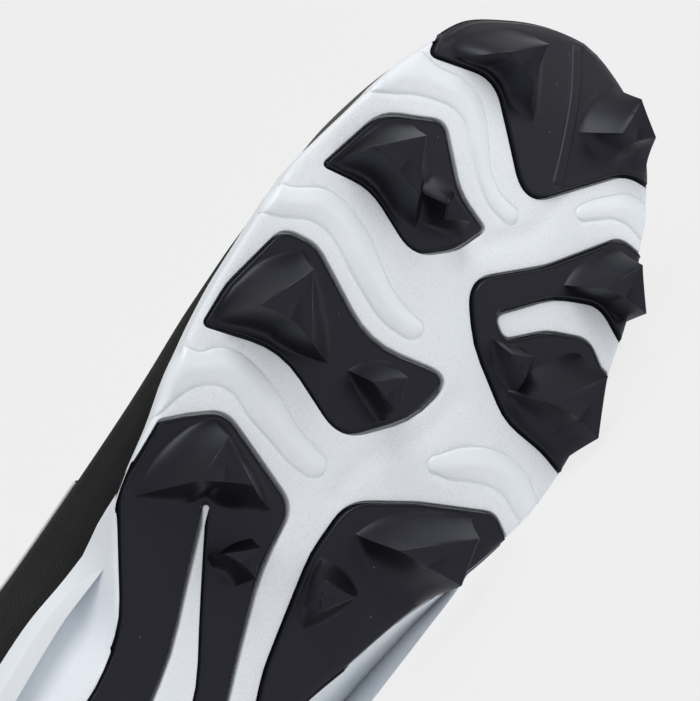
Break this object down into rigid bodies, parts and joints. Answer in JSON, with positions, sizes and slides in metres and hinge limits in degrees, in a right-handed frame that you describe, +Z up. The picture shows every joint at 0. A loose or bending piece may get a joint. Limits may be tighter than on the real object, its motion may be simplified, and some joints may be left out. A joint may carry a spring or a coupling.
{
  "type": "football cleat",
  "caption": "Right football cleat lying on its medial side: hollow knit upper, white moulded sole plate with black rubber pods and studs, insole, tongue and laces.",
  "frame": {"origin": "centre of the lying shoe's bounding box, on the ground", "axes": "+X towards the toe, +Z up from the ground, +Y to where the collar opens; the sole faces -Y"},
  "size_m": [0.3002, 0.1204, 0.097],
  "materials": {
    "knit": "matte knit",
    "white_plate": "satin, grained",
    "black_rubber": "satin",
    "foam": "matte",
    "lace": "matte woven"
  },
  "bodies": {
    "root": {"upper": "knit", "sole_plate": "white_plate", "toe_pod": "black_rubber", "lateral_front_pod": "black_rubber", "lateral_ball_pod": "black_rubber", "medial_ball_pod": "black_rubber", "medial_waist_pod": "black_rubber", "waist_heel_pod": "black_rubber", "insole": "foam", "tongue": "knit", "laces": "lace"}
  },
  "joints": []
}
